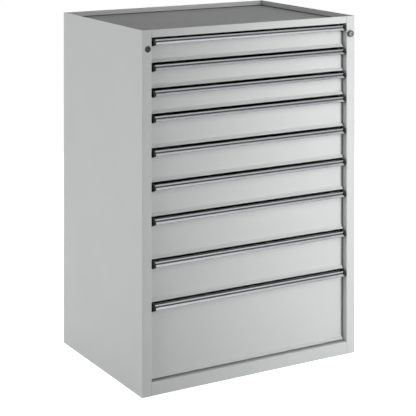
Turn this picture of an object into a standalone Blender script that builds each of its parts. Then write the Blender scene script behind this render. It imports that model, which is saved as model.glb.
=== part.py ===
"""Industrial drawer cabinet: a folded steel housing with nine drawers on telescopic slides.

Metres, +Z up. X runs along the front, -Y is the front, and the origin is at the middle of
the footprint. Each mesh object is one separate piece. The pieces of a drawer hang under an
empty at the drawer's own front, and the lock's pieces under an empty on the lock's axis.
"""

import math

import bmesh
import bpy
from mathutils import Matrix, Vector

# Housing
width = 0.905
depth = 0.670
base_band = 0.050
top_band = 0.030
sheet = 0.0015
thin_sheet = 0.0012
seat_gap = 0.0003
post_width = 0.0375
post_return = 0.028
rear_flange = 0.025
fold_radius = 0.0022
edge_lift = 0.003
plinth_flange = 0.028
rail_flange = 0.024
base_pan_height = 0.0385
base_pan_flange = 0.028
base_pan_gap = 0.0018
mat_thickness = 0.0028
mat_margin = 0.0025

# Drawers, from the top one to the bottom one, in units of height
drawer_unit = 0.030
drawer_units = (3, 3, 3, 4, 4, 4, 5, 5, 9)
front_recess = 0.025
front_side_gap = 0.0055
front_foot = 0.0030
front_depth = 0.012
kick_reach = 0.010
kick_height = 0.012
kick_lip = 0.0018
tub_sheet = 0.0011
tub_foot = 0.0055
tub_headroom = 0.0105
tub_rear_gap = 0.010

# Telescopic slides: fixed runner, middle member and the member welded to the drawer
slide_foot = 0.017
slide_height = 0.036
slide_metal = 0.002
slide_span = 0.028
race_reach = 0.010
middle_width = 0.020
middle_flange = 0.004
middle_web = 0.003
running_gap = 0.0005
slide_side_gap = 0.0060
slide_set_back = 0.049
slide_length = 0.600
runner_rear_gap = 0.006
weld_overlap = 0.0005

# Handle, an extrusion across the whole front with a moulded cap at each end
handle_rise = 0.0047
handle_foot = 0.0225
handle_wall = 0.0020
handle_edge = 0.0005
handle_back_overlap = 0.0020
lip_reach = 0.0235
lip_height = 0.0050
lip_wall = 0.0030
label_groove_height = 0.0042
label_groove_depth = 0.0018
label_step = 0.0009
band_wall = 0.0028
nose_reach = 0.0325
nose_height = 0.0012
nose_edge = 0.0012
cap_thickness = 0.008
cap_rim = 0.0008
cap_foot = 0.0300
cap_corner_radius = 0.012
cap_heel = 0.0025

# Central lock
lock_drop = 0.0665
lock_set_in = 0.0220
lock_proud = 0.009
barrel_radius = 0.008
barrel_chamfer = 0.0006
barrel_gap = 0.0003
sleeve_wall = 0.0017
sleeve_length = 0.028
hole_gap = 0.0003
rosette_rim = 0.0025
rosette_proud = 0.0065
rosette_chamfer = 0.0012
nut_rim = 0.0035
nut_thickness = 0.004
key_slot_width = 0.0016
key_slot_length = 0.0090
key_slot_depth = 0.004
key_slot_turn = math.radians(40)
crank_set_back = 0.035
crank_thickness = 0.0025
crank_radius = 0.004
crank_pin_radius = 0.0025
lock_travel = 0.010
bar_set_back = 0.040
bar_thickness = 0.003
bar_width = 0.020
bar_side_gap = 0.0035
bar_slot_gap = 0.0008
bar_slot_play = 0.0023
bar_head_margin = 0.004
pin_overrun = 0.0015
stud_radius = 0.0020
stud_head_rim = 0.0025
stud_head_thickness = 0.0015
stud_gap = 0.0003
catch_metal = 0.0025
catch_side_gap = 0.0008
catch_length = 0.020
catch_foot = 0.0045
catch_height = 0.011
catch_gap = 0.0008
plug_rim = 0.0010
plug_proud = 0.0022
plug_barb = 0.0008
plug_barb_length = 0.004

# Values that no single piece owns
round_segments = 32
fold_steps = 3
cut_overrun = 0.010
weld_distance = 1e-6

# Derived lines of the housing
height = base_band + sum(drawer_units) * drawer_unit + top_band
half_width = width / 2
front_y = lock_proud - (depth + lock_proud) / 2
back_y = front_y + depth
side_inner = half_width - sheet
opening_half = half_width - post_width
top_line = height - top_band
rail_z = top_line + edge_lift
plinth_z = base_band - edge_lift
back_panel_front = back_y - sheet - seat_gap - thin_sheet
tray_z = rail_z + sheet + seat_gap
base_pan_front = front_y + max(post_return, plinth_flange) + base_pan_gap

# Derived lines of a drawer, at rest
front_plane = front_y + front_recess
front_half = opening_half - front_side_gap
tub_half = opening_half - slide_side_gap - (slide_span + middle_width) / 2
tub_front = front_plane + thin_sheet / 2
tub_rear = back_panel_front - tub_rear_gap
slide_front = front_y + slide_set_back
runner_face = tub_half + slide_span
runner_rear = back_panel_front - runner_rear_gap

# Derived lines of the lock
lock_x = half_width - lock_set_in
lock_z = height - lock_drop
sleeve_radius = barrel_radius + barrel_gap + sleeve_wall
hole_radius = sleeve_radius + hole_gap
rosette_radius = sleeve_radius + rosette_rim
nut_radius = sleeve_radius + nut_rim
plug_radius = sleeve_radius + plug_rim
bar_inner = opening_half + sheet + bar_side_gap
bar_outer = bar_inner + bar_width
bar_front = front_y + bar_set_back
stud_x = (bar_inner + bar_outer - lock_travel) / 2
catch_front = bar_front + bar_thickness + catch_gap

PAINT = ("light grey paint", (0.62, 0.63, 0.62), 0.0, 0.45)
ALUMINIUM = ("anodised aluminium", (0.60, 0.60, 0.62), 1.0, 0.35)
ZINC = ("zinc plated steel", (0.50, 0.51, 0.53), 1.0, 0.40)
RUBBER = ("ribbed rubber", (0.10, 0.10, 0.10), 0.0, 0.80)
BLACK = ("black plastic", (0.02, 0.02, 0.02), 0.0, 0.50)
BRIGHT = ("bright lock metal", (0.65, 0.65, 0.66), 1.0, 0.25)


def clear_scene():
    """Removes the start-up objects."""
    for obj in list(bpy.data.objects):
        bpy.data.objects.remove(obj, do_unlink=True)


def new_collection(name):
    """Makes a collection under the scene's own."""
    collection = bpy.data.collections.new(name)
    bpy.context.scene.collection.children.link(collection)
    return collection


def material(spec):
    """Returns a Principled material for (name, colour, metallic, roughness)."""
    name, colour, metallic, roughness = spec
    found = bpy.data.materials.get(name)
    if found:
        return found
    made = bpy.data.materials.new(name)
    made.use_nodes = True
    shader = made.node_tree.nodes["Principled BSDF"]
    shader.inputs["Base Color"].default_value = (*colour, 1.0)
    shader.inputs["Metallic"].default_value = metallic
    shader.inputs["Roughness"].default_value = roughness
    return made


def add_object(name, data, spec=None):
    """Links an object for the data, with its own material slot."""
    obj = bpy.data.objects.new(name, data)
    part_collection.objects.link(obj)
    if spec:
        data.materials.clear()
        data.materials.append(material(spec))
    return obj


def mesh_object(name, bm, spec=None):
    """Turns a bmesh into a linked object and frees it."""
    mesh = bpy.data.meshes.new(name)
    bm.to_mesh(mesh)
    bm.free()
    return add_object(name, mesh, spec)


def evaluated_mesh(obj):
    """Returns a new mesh of the object as its modifiers leave it."""
    graph = bpy.context.evaluated_depsgraph_get()
    graph.update()
    return bpy.data.meshes.new_from_object(obj.evaluated_get(graph))


def bake(obj):
    """Writes the object's modifiers into its mesh."""
    mesh = evaluated_mesh(obj)
    obj.modifiers.clear()
    obj.data = mesh
    return obj


def combine(obj, tools, operation="UNION"):
    """Joins the tools to the object, or cuts them from it, and removes them."""
    for tool in tools:
        boolean = obj.modifiers.new("combine", "BOOLEAN")
        boolean.operation = operation
        boolean.solver = "EXACT"
        boolean.object = tool
        bake(obj)
        bpy.data.objects.remove(tool, do_unlink=True)
    return obj


def cut(obj, tools):
    """Cuts the tools from the object."""
    return combine(obj, tools, "DIFFERENCE")


def lay_along(axis):
    """Returns the matrix that lays a drawing's plane square to an axis.

    A drawing for Z is in (X, Y), one for X is in (Y, Z), and one for Y is in (X, Z).
    """
    columns = {
        "Z": ((1, 0, 0), (0, 1, 0), (0, 0, 1)),
        "X": ((0, 1, 0), (0, 0, 1), (1, 0, 0)),
        "Y": ((1, 0, 0), (0, 0, 1), (0, -1, 0)),
    }[axis]
    return Matrix(columns).transposed().to_4x4()


def span_along(axis, start, end):
    """Returns a span's limits along the drawing's own normal."""
    return (-end, -start) if axis == "Y" else (start, end)


def prism(name, outline, axis, start, end, spec=None):
    """Extrudes a flat outline between two places on an axis."""
    low, high = span_along(axis, start, end)
    curve = bpy.data.curves.new(name, "CURVE")
    curve.dimensions = "2D"
    curve.fill_mode = "BOTH"
    curve.extrude = (high - low) / 2
    spline = curve.splines.new("POLY")
    spline.points.add(len(outline) - 1)
    for point, (u, v) in zip(spline.points, outline):
        point.co = (u, v, 0, 1)
    spline.use_cyclic_u = True
    drawn = bpy.data.objects.new(name, curve)
    part_collection.objects.link(drawn)
    mesh = evaluated_mesh(drawn)
    bpy.data.objects.remove(drawn, do_unlink=True)
    bpy.data.curves.remove(curve)
    bm = bmesh.new()
    bm.from_mesh(mesh)
    bpy.data.meshes.remove(mesh)
    bmesh.ops.remove_doubles(bm, verts=bm.verts, dist=weld_distance)
    bmesh.ops.translate(bm, verts=bm.verts, vec=(0, 0, (low + high) / 2))
    bmesh.ops.transform(bm, matrix=lay_along(axis), verts=bm.verts)
    bmesh.ops.recalc_face_normals(bm, faces=bm.faces)
    return mesh_object(name, bm, spec)


def block(name, low, high, spec=None):
    """Makes a box between two corners."""
    size = Vector(high) - Vector(low)
    middle = (Vector(high) + Vector(low)) / 2
    bm = bmesh.new()
    bmesh.ops.create_cube(bm, size=1)
    bmesh.ops.scale(bm, vec=size, verts=bm.verts)
    bmesh.ops.translate(bm, vec=middle, verts=bm.verts)
    return mesh_object(name, bm, spec)


def thicken(obj, thickness):
    """Gives an open surface its thickness, on the side away from its normals."""
    solid = obj.modifiers.new("thickness", "SOLIDIFY")
    solid.thickness = thickness
    solid.offset = -1
    solid.use_even_offset = True
    return bake(obj)


def folded(name, path, axis, start, end, thickness, spec=None):
    """Folds a sheet along a path; the sheet lies to the left of the path."""
    low, high = span_along(axis, start, end)
    bm = bmesh.new()
    verts = [bm.verts.new((u, v, low)) for u, v in path]
    edges = [bm.edges.new(pair) for pair in zip(verts, verts[1:])]
    raised = bmesh.ops.extrude_edge_only(bm, edges=edges)["geom"]
    moved = [item for item in raised if isinstance(item, bmesh.types.BMVert)]
    bmesh.ops.translate(bm, verts=moved, vec=(0, 0, high - low))
    bmesh.ops.reverse_faces(bm, faces=bm.faces)
    bmesh.ops.transform(bm, matrix=lay_along(axis), verts=bm.verts)
    return thicken(mesh_object(name, bm, spec), thickness)


def rounded(points, radius):
    """Rounds the inner corners of an open path."""
    path = [points[0]]
    for before, corner, after in zip(points, points[1:], points[2:]):
        corner = Vector(corner)
        back = (Vector(before) - corner).normalized()
        ahead = (Vector(after) - corner).normalized()
        half_turn = back.angle(ahead) / 2
        run = radius / math.tan(half_turn)
        centre = corner + (back + ahead).normalized() * (radius / math.sin(half_turn))
        first = corner + back * run - centre
        last = corner + ahead * run - centre
        sweep = first.angle(last)
        for step in range(fold_steps + 1):
            turn = sweep * step / fold_steps
            arm = (first * math.sin(sweep - turn) + last * math.sin(turn)) / math.sin(sweep)
            path.append(tuple(centre + arm))
    path.append(points[-1])
    return path


def turned(name, profile, spec=None):
    """Turns a closed profile of (radius, place) about the Y axis."""
    bm = bmesh.new()
    verts = [bm.verts.new((radius, place, 0)) for radius, place in profile]
    for pair in zip(verts, verts[1:]):
        bm.edges.new(pair)
    if min(radius for radius, _ in profile) > 0:
        bm.edges.new((verts[-1], verts[0]))
    obj = mesh_object(name, bm, spec)
    screw = obj.modifiers.new("turn", "SCREW")
    screw.axis = "Y"
    screw.steps = round_segments
    screw.render_steps = round_segments
    screw.use_merge_vertices = True
    screw.merge_threshold = weld_distance
    bake(obj)
    bm = bmesh.new()
    bm.from_mesh(obj.data)
    bmesh.ops.remove_doubles(bm, verts=bm.verts, dist=weld_distance)
    bmesh.ops.recalc_face_normals(bm, faces=bm.faces)
    bm.to_mesh(obj.data)
    bm.free()
    return obj


def rod(name, radius, start, end, x=0.0, z=0.0, spec=None):
    """Makes a cylinder along Y."""
    bm = bmesh.new()
    bmesh.ops.create_cone(
        bm, cap_ends=True, segments=round_segments, radius1=radius, radius2=radius, depth=end - start
    )
    turn = Matrix.Rotation(math.pi / 2, 4, "X")
    place = Matrix.Translation((x, (start + end) / 2, z))
    bmesh.ops.transform(bm, matrix=place @ turn, verts=bm.verts)
    return mesh_object(name, bm, spec)


def mirror_to_left(obj, name):
    """Copies a right-hand piece as its left-hand twin."""
    bm = bmesh.new()
    bm.from_mesh(obj.data)
    bmesh.ops.scale(bm, vec=(-1, 1, 1), verts=bm.verts)
    bmesh.ops.reverse_faces(bm, faces=bm.faces)
    twin = mesh_object(name, bm)
    twin.data.materials.append(obj.data.materials[0])
    return twin


def empty(name, place):
    """Makes an empty that a moving group hangs on."""
    made = bpy.data.objects.new(name, None)
    part_collection.objects.link(made)
    made.location = place
    made.empty_display_size = drawer_unit
    return made


def hang(obj, carrier, place=(0, 0, 0)):
    """Parents an object to a carrier, at a place in the carrier's own frame."""
    obj.parent = carrier
    obj.location = place
    return obj


def make_side_panels():
    """Two folded sides: rear flange, side, front post and the post's return."""
    corners = [
        (opening_half, front_y + post_return),
        (opening_half, front_y),
        (half_width, front_y),
        (half_width, back_y),
        (half_width - rear_flange, back_y),
    ]
    path = rounded(corners, fold_radius)
    right = folded("right_side_panel", path, "Z", 0, height, sheet, PAINT)
    hole = rod("hole", hole_radius, front_y - cut_overrun, front_y + cut_overrun, lock_x, lock_z)
    notch_front = front_y + sheet + seat_gap
    notch_low = (opening_half - cut_overrun, notch_front, rail_z)
    notch_high = (side_inner, front_y + post_return + cut_overrun, height + cut_overrun)
    cut(right, [hole, block("notch", notch_low, notch_high)])
    mirror_to_left(right, "left_side_panel")


def make_back_and_top():
    """Back panel, top rail, top tray and the ribbed mat in it."""
    inner = side_inner - seat_gap
    block(
        "back_panel",
        (-inner, back_panel_front, seat_gap),
        (inner, back_panel_front + thin_sheet, height - seat_gap),
        PAINT,
    )
    rail_half = opening_half - seat_gap
    rail = rounded([(front_y, height), (front_y, rail_z), (front_y + rail_flange, rail_z)], fold_radius)
    folded("top_rail", rail, "X", -rail_half, rail_half, sheet, PAINT)
    tray_front = front_y + sheet + seat_gap
    tray_back = back_panel_front - seat_gap
    tray_low = (-inner, tray_front, tray_z)
    tray = open_box("top_tray", tray_low, (inner, tray_back, height - seat_gap), thin_sheet)
    tray.data.materials.append(material(PAINT))
    edge = thin_sheet + mat_margin
    mat_z = tray_z + thin_sheet + seat_gap
    block(
        "ribbed_mat",
        (-inner + edge, tray_front + edge, mat_z),
        (inner - edge, tray_back - edge, mat_z + mat_thickness),
        RUBBER,
    )


def open_box(name, low, high, thickness):
    """Makes a sheet box that is open at its top."""
    obj = block(name, low, high)
    bm = bmesh.new()
    bm.from_mesh(obj.data)
    bm.normal_update()
    bmesh.ops.delete(bm, geom=[face for face in bm.faces if face.normal.z > 0.5], context="FACES")
    bm.to_mesh(obj.data)
    bm.free()
    return thicken(obj, thickness)


def make_base():
    """Plinth between the posts and the pan that the cabinet stands on."""
    plinth_half = opening_half - seat_gap
    channel = [
        (front_y + plinth_flange, plinth_z),
        (front_y, plinth_z),
        (front_y, 0),
        (front_y + plinth_flange, 0),
    ]
    folded("plinth", rounded(channel, fold_radius), "X", -plinth_half, plinth_half, sheet, PAINT)
    inner = side_inner - seat_gap
    rear = back_panel_front - seat_gap
    pan = block("base_pan", (-inner, base_pan_front, 0), (inner, rear, base_pan_height), PAINT)
    hollow = block(
        "hollow",
        (-inner + sheet, base_pan_front + sheet, sheet),
        (inner - sheet, rear - sheet, base_pan_height - sheet),
    )
    mouth = block(
        "mouth",
        (-inner + base_pan_flange, base_pan_front + base_pan_flange, -cut_overrun),
        (inner - base_pan_flange, rear - base_pan_flange, base_pan_height / 2),
    )
    cut(pan, [hollow, mouth])


def channel_section(web_x, reach, foot, rise):
    """Path of a C section: its web at web_x and its flanges towards -X for a positive reach."""
    points = [(web_x - reach, foot), (web_x, foot), (web_x, rise), (web_x - reach, rise)]
    return points if reach > 0 else points[::-1]


def drawer_places():
    """Yields each drawer's number, height and the foot of its module."""
    foot = top_line
    for number, units in enumerate(drawer_units, 1):
        foot -= units * drawer_unit
        yield number, units * drawer_unit, foot


def make_runner_walls():
    """Folded inner walls, each with nine fixed runners; the right one carries the lock bar."""
    wall_face = runner_face - weld_overlap
    inner = side_inner - seat_gap
    corners = [
        (inner, runner_rear),
        (wall_face, runner_rear),
        (wall_face, slide_front),
        (inner, slide_front),
    ]
    low, high = base_pan_height + seat_gap, tray_z - seat_gap
    right = folded("right_runner_wall", corners, "Z", low, high, sheet, ZINC)
    for _, _, foot in drawer_places():
        runner_foot = foot + slide_foot
        section = channel_section(runner_face, race_reach, runner_foot, runner_foot + slide_height)
        runner = folded("runner", section, "Y", slide_front + seat_gap, runner_rear - seat_gap, slide_metal)
        combine(right, [runner])
    mirror_to_left(right, "left_runner_wall")
    combine(right, [bar_stud(z) for z in stud_heights()])


def stud_heights():
    """Returns the heights of the studs: the middles of three drawers' modules."""
    carrying = (2, (2 + len(drawer_units)) // 2, len(drawer_units))
    return [foot + module / 2 for number, module, foot in drawer_places() if number in carrying]


def bar_stud(z):
    """A headed stud on the runner wall's front flange that the lock bar hangs and slides on."""
    head_back = bar_front - stud_gap
    head_front = head_back - stud_head_thickness
    head_radius = stud_radius + stud_head_rim
    profile = [
        (0, head_front),
        (head_radius, head_front),
        (head_radius, head_back),
        (stud_radius, head_back),
        (stud_radius, slide_front + weld_overlap),
        (0, slide_front + weld_overlap),
    ]
    stud = turned("stud", profile)
    stud.data.transform(Matrix.Translation((stud_x, 0, z)))
    return stud


def front_pan(module):
    """The painted front: a pan whose foot kicks forward over the handle below."""
    rear = front_plane + front_depth
    rise = module - tub_headroom
    outline = [
        (rear, front_foot),
        (front_plane - kick_reach, front_foot),
        (front_plane - kick_reach, front_foot + kick_lip),
        (front_plane, front_foot + kick_height),
        (front_plane, rise),
        (rear, rise),
    ]
    pan = prism("pan", outline, "X", -front_half, front_half)
    bm = bmesh.new()
    bm.from_mesh(pan.data)
    bm.normal_update()
    back = [face for face in bm.faces if face.normal.y > 0.9]
    bmesh.ops.delete(bm, geom=back, context="FACES")
    bmesh.ops.dissolve_limit(bm, angle_limit=math.radians(1), verts=bm.verts, edges=bm.edges)
    bm.to_mesh(pan.data)
    bm.free()
    return thicken(pan, thin_sheet)


def drawer_mesh(module):
    """One drawer as welded: tub, front pan and the two members its slides run on."""
    rise = module - tub_headroom
    tub = open_box("tub", (-tub_half, tub_front, tub_foot), (tub_half, tub_rear, rise), tub_sheet)
    web = tub_half - weld_overlap
    members = []
    for side in (1, -1):
        section = channel_section(side * web, -side * race_reach, slide_foot, slide_foot + slide_height)
        rear = slide_front + slide_length
        members.append(folded("member", section, "Y", slide_front, rear, slide_metal))
    combine(tub, [front_pan(module), *members])
    tub.location = (0, -front_plane, 0)
    return placed_mesh(tub, PAINT)


def placed_mesh(obj, spec):
    """Moves an object's place into its mesh, removes the object and returns the mesh."""
    mesh = obj.data
    mesh.transform(Matrix.Translation(obj.location))
    mesh.materials.clear()
    mesh.materials.append(material(spec))
    bpy.data.objects.remove(obj, do_unlink=True)
    return mesh


def handle_outline():
    """Section of the extrusion as (reach, rise): reach from the front, rise from the module's top.

    The finger trough is behind the lip, and the groove for a label strip is in front of it, over
    a band that slopes out to the nose.
    """
    back = seat_gap
    inner_back = back + handle_wall
    back_top = handle_back_overlap - tub_headroom
    lip = lip_reach
    top = -handle_rise
    groove = lip - label_groove_depth
    groove_top = top - lip_height
    label_top = groove_top - label_groove_height
    band_top = label_top - label_step
    foot = -handle_foot
    nose = foot + nose_height
    floor = foot + handle_wall
    band_run = nose_reach - nose_edge - lip - label_step
    slope = band_run / (band_top - nose - nose_edge)
    band_inside = lip + label_step - band_wall
    return [
        (back, foot),
        (back, back_top),
        (inner_back, back_top),
        (inner_back, floor),
        (band_inside + slope * (band_top - floor), floor),
        (groove - handle_wall, label_top),
        (lip - lip_wall, top - handle_wall),
        (lip - handle_wall, top),
        (lip - handle_edge, top - handle_edge),
        (lip, top - handle_wall),
        (lip, groove_top),
        (groove, groove_top - label_step),
        (groove, label_top),
        (lip + label_step, band_top),
        (nose_reach - nose_edge, nose + nose_edge),
        (nose_reach, nose),
        (nose_reach - nose_edge, foot + handle_edge),
        (nose_reach - 2 * nose_edge, foot),
    ]


def cap_outline():
    """Outline of an end cap: it covers the section and hangs below it, with a round corner."""
    lip = lip_reach + cap_rim
    foot = -cap_foot
    rise = -handle_rise + cap_rim
    centre = Vector((nose_reach + cap_rim - cap_corner_radius, foot + cap_corner_radius))
    steps = 2 * fold_steps
    corner = []
    for step in range(steps + 1):
        angle = -math.pi / 2 * step / steps
        corner.append(tuple(centre + cap_corner_radius * Vector((math.cos(angle), math.sin(angle)))))
    return [
        (seat_gap, foot + cap_heel),
        (seat_gap, rise - handle_wall),
        (seat_gap + handle_wall, rise),
        (lip - handle_wall, rise),
        (lip, rise - handle_wall),
        *corner,
        (seat_gap + cap_heel, foot),
    ]


def handle_mesh():
    """The extrusion with its two end caps, placed from the front plane and the module's top."""
    def forward(outline):
        return [(-reach, rise) for reach, rise in outline]

    inner = front_half - cap_thickness
    bar = prism("bar", forward(handle_outline()), "X", -inner - weld_overlap, inner + weld_overlap)
    caps = [
        prism("cap", forward(cap_outline()), "X", inner, front_half),
        prism("cap", forward(cap_outline()), "X", -front_half, -inner),
    ]
    return placed_mesh(combine(bar, caps), ALUMINIUM)


def middle_member_mesh():
    """The I section that runs between a fixed runner and a drawer's own member."""
    inset = slide_metal + running_gap
    low, high = slide_foot + inset, slide_foot + slide_height - inset
    edge, web = middle_width / 2, middle_web / 2
    outline = [
        (-edge, low),
        (edge, low),
        (edge, low + middle_flange),
        (web, low + middle_flange),
        (web, high - middle_flange),
        (edge, high - middle_flange),
        (edge, high),
        (-edge, high),
        (-edge, high - middle_flange),
        (-web, high - middle_flange),
        (-web, low + middle_flange),
        (-edge, low + middle_flange),
    ]
    start = slide_front - front_plane
    return placed_mesh(prism("middle", outline, "Y", start, start + slide_length), ZINC)


def catch_mesh():
    """The angle on a drawer's right wall that the lock bar blocks."""
    plate_x = tub_half + seat_gap
    front = catch_front - front_plane
    end_x = opening_half - catch_side_gap
    path = [(plate_x, front + catch_length), (plate_x, front), (end_x, front)]
    rise = catch_foot + catch_height
    return placed_mesh(folded("catch", path, "Z", catch_foot, rise, catch_metal), ZINC)


def make_drawers():
    """Nine drawers, each with its handle, its lock catch and its two middle slide members."""
    drawers = {units: drawer_mesh(units * drawer_unit) for units in sorted(set(drawer_units))}
    handle, middle, catch = handle_mesh(), middle_member_mesh(), catch_mesh()
    middle_x = tub_half + slide_span / 2
    for number, module, foot in drawer_places():
        name = f"drawer_{number}"
        carrier = empty(f"{name}_travel", (0, front_plane, foot))
        slides = empty(f"{name}_slides_travel", (0, front_plane, foot))
        hang(add_object(f"{name}_box", drawers[drawer_units[number - 1]]), carrier)
        hang(add_object(f"{name}_handle", handle), carrier, (0, 0, module))
        hang(add_object(f"{name}_catch", catch), carrier)
        hang(add_object(f"{name}_slide_left", middle), slides, (-middle_x, 0, 0))
        hang(add_object(f"{name}_slide_right", middle), slides, (middle_x, 0, 0))


def make_lock():
    """Lock housing, barrel with its crank, and the plug in the other post."""
    behind = sheet + seat_gap
    housing = turned(
        "lock_housing",
        [
            (barrel_radius + barrel_gap, -rosette_proud),
            (rosette_radius - rosette_chamfer, -rosette_proud),
            (rosette_radius, -rosette_proud + rosette_chamfer),
            (rosette_radius, -seat_gap),
            (sleeve_radius, -seat_gap),
            (sleeve_radius, behind),
            (nut_radius, behind),
            (nut_radius, behind + nut_thickness),
            (sleeve_radius, behind + nut_thickness),
            (sleeve_radius, sleeve_length),
            (barrel_radius + barrel_gap, sleeve_length),
        ],
        BLACK,
    )
    housing.location = (lock_x, front_y, lock_z)
    axis = empty("lock_axis", (lock_x, front_y, lock_z))
    hang(make_barrel(), axis)
    plug = turned(
        "blanking_plug",
        [
            (0, -plug_proud),
            (plug_radius - plug_proud, -plug_proud),
            (plug_radius, -plug_proud / 2),
            (plug_radius, -seat_gap),
            (sleeve_radius, -seat_gap),
            (sleeve_radius, behind),
            (sleeve_radius + plug_barb, behind),
            (sleeve_radius - plug_barb, behind + plug_barb_length),
            (0, behind + plug_barb_length),
        ],
        BLACK,
    )
    plug.location = (-lock_x, front_y, lock_z)


def make_barrel():
    """The lock barrel: key slot in front, crank behind with its pin up, at its unlocked turn."""
    barrel = turned(
        "lock_barrel",
        [
            (0, -lock_proud),
            (barrel_radius - barrel_chamfer, -lock_proud),
            (barrel_radius, -lock_proud + barrel_chamfer),
            (barrel_radius, crank_set_back + crank_thickness / 2),
            (0, crank_set_back + crank_thickness / 2),
        ],
        BRIGHT,
    )
    crank_end = crank_set_back + crank_thickness
    crank = prism("crank", stadium(crank_radius, lock_travel), "Y", crank_set_back, crank_end)
    crank.data.transform(Matrix.Rotation(-math.pi / 2, 4, "Y"))
    pin_start = crank_set_back + crank_thickness / 2
    pin_end = bar_set_back + bar_thickness + pin_overrun
    pin = rod("pin", crank_pin_radius, pin_start, pin_end, z=lock_travel)
    combine(barrel, [crank, pin])
    slot = block(
        "key_slot",
        (-key_slot_length / 2, -lock_proud - cut_overrun, -key_slot_width / 2),
        (key_slot_length / 2, -lock_proud + key_slot_depth, key_slot_width / 2),
    )
    slot.data.transform(Matrix.Rotation(key_slot_turn, 4, "Y"))
    return cut(barrel, [slot])


def stadium(radius, length):
    """Outline of a bar with round ends, from the origin along the first axis."""
    outline = []
    half = round_segments // 2
    for end, start_angle in ((length, -math.pi / 2), (0.0, math.pi / 2)):
        for step in range(half + 1):
            angle = start_angle + math.pi * step / half
            outline.append((end + radius * math.cos(angle), radius * math.sin(angle)))
    return outline


def make_lock_bar():
    """The bar behind the right post: the crank slides it sideways, in front of every catch."""
    slot_room = crank_pin_radius + bar_slot_gap
    pin_z = lock_z + lock_travel
    bar_back, bar_high = bar_front + bar_thickness, pin_z + slot_room + bar_head_margin
    bar = block("lock_bar", (bar_inner, bar_front, base_band), (bar_outer, bar_back, bar_high), ZINC)
    cuts = [
        block(
            "slot",
            (lock_x - slot_room - bar_slot_play, bar_front - cut_overrun, lock_z - slot_room),
            (lock_x + slot_room, bar_front + cut_overrun, pin_z + slot_room),
        )
    ]
    outline = stadium(stud_radius + stud_gap, lock_travel)
    for z in stud_heights():
        way = prism("way", outline, "Y", bar_front - cut_overrun, bar_front + cut_overrun)
        way.data.transform(Matrix.Translation((stud_x, 0, z)))
        cuts.append(way)
    cut(bar, cuts)


def shade_round_pieces():
    """Smooths the turned pieces and keeps their edges sharp."""
    for name in ("lock_housing", "lock_barrel", "blanking_plug"):
        mesh = bpy.data.objects[name].data
        mesh.shade_smooth()
        mesh.set_sharp_from_angle(angle=math.radians(30))


clear_scene()
part_collection = new_collection("industrial_drawer_cabinet")
make_side_panels()
make_back_and_top()
make_base()
make_runner_walls()
make_drawers()
make_lock()
make_lock_bar()
shade_round_pieces()
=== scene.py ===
"""Looks of the industrial drawer cabinet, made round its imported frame.

Metres, +Z up, -Y is the front and +X is the right of someone who faces the fronts. Places
come from the frame's nodes, and the sizes named here are those of sheets, folds and trim.
"""

import math

import bmesh
import bpy
from mathutils import Matrix, Vector


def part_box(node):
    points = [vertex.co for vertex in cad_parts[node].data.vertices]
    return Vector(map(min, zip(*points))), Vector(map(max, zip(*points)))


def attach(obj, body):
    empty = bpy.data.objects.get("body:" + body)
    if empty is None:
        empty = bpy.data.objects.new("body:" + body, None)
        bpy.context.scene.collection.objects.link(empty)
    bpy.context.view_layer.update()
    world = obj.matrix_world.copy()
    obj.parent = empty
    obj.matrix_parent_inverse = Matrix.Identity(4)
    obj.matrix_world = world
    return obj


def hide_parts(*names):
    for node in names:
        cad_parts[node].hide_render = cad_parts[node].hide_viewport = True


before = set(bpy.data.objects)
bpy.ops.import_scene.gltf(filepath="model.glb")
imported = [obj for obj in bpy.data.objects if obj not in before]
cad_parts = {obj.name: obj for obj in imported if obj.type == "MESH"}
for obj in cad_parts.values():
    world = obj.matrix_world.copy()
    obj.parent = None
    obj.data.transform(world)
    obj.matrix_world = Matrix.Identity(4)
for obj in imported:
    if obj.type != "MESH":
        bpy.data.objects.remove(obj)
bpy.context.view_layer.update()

# Camera, solved from the housing's corners in the photograph. The photograph keeps all
# uprights parallel, as a shift lens does: the camera is level and its frame is slid down.
photo_px = 416
principal_px = (239.9, -147.4)
focal_px = 1443.7
camera_yaw = math.radians(30.903)
camera_place = (-2.7419, -4.8174, 1.8999)
sensor_mm = 36.0
view_reach = 100

# Meshes: steps of round forms, and limits that tell a sharp edge and a square face
arc_steps = 5
stadium_steps = 12
rivet_segments = 20
rod_segments = 32
lock_segments = 64
ease_segments = 2
pan_ease_segments = 3
smooth_limit = math.radians(35)
ease_limit = math.radians(40)
facing_limit = 0.9

# Sheet metal: folds, seams, cuts, and the housing's own sizes
housing_sheet = 0.0015
thin_sheet = 0.0012
fold_radius = 0.0022
least_inner_share = 0.25
seam_gap = 0.0003
post_return = 0.028
rear_flange_width = 0.025
cut_overrun = 0.010
tray_corner_gap = 0.0035
tray_turn = 0.0060
back_rivet_inset = 0.0125
back_rivet_pitch = 0.150
back_rivet_radius = 0.0032
back_rivet_height = 0.0011

# Mat; the shares are of the pitch of its ribs
rib_pitch = 0.0030
rib_height = 0.0010
rib_foot_share = 0.3
rib_rise_share = 0.4
rib_top_share = 0.9
# Dark strip round the mat: painted shade for the dark line at the mat's edge
mat_shade_edge = 0.0035
mat_shade_edge_rise = 0.0030

# Drawers, in a drawer's own frame: its front plane and the foot of its module
drawer_count = 9
unit_height = 0.030
headroom = 0.0105
front_foot = 0.0030
front_depth = 0.012
front_sheet = 0.0012
front_bend = 0.0016
kick_reach = 0.010
kick_height = 0.012
kick_lip = 0.0018
kick_bend = 0.0040
edge_bend = 0.0009
tub_foot = 0.0055
tub_sheet = 0.0011
tub_bend = 0.0018
tub_front = 0.0013
hem_width = 0.0045
hem_height = 0.0060
floor_turn = 0.0140
slot_width = 0.0030
slot_height = 0.0140
slot_pitch = 0.0255
slot_row_foot = 0.0565
slot_row_pitch = 0.0300
slot_low_row = 0.0220
slot_margin = 0.0300

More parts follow.
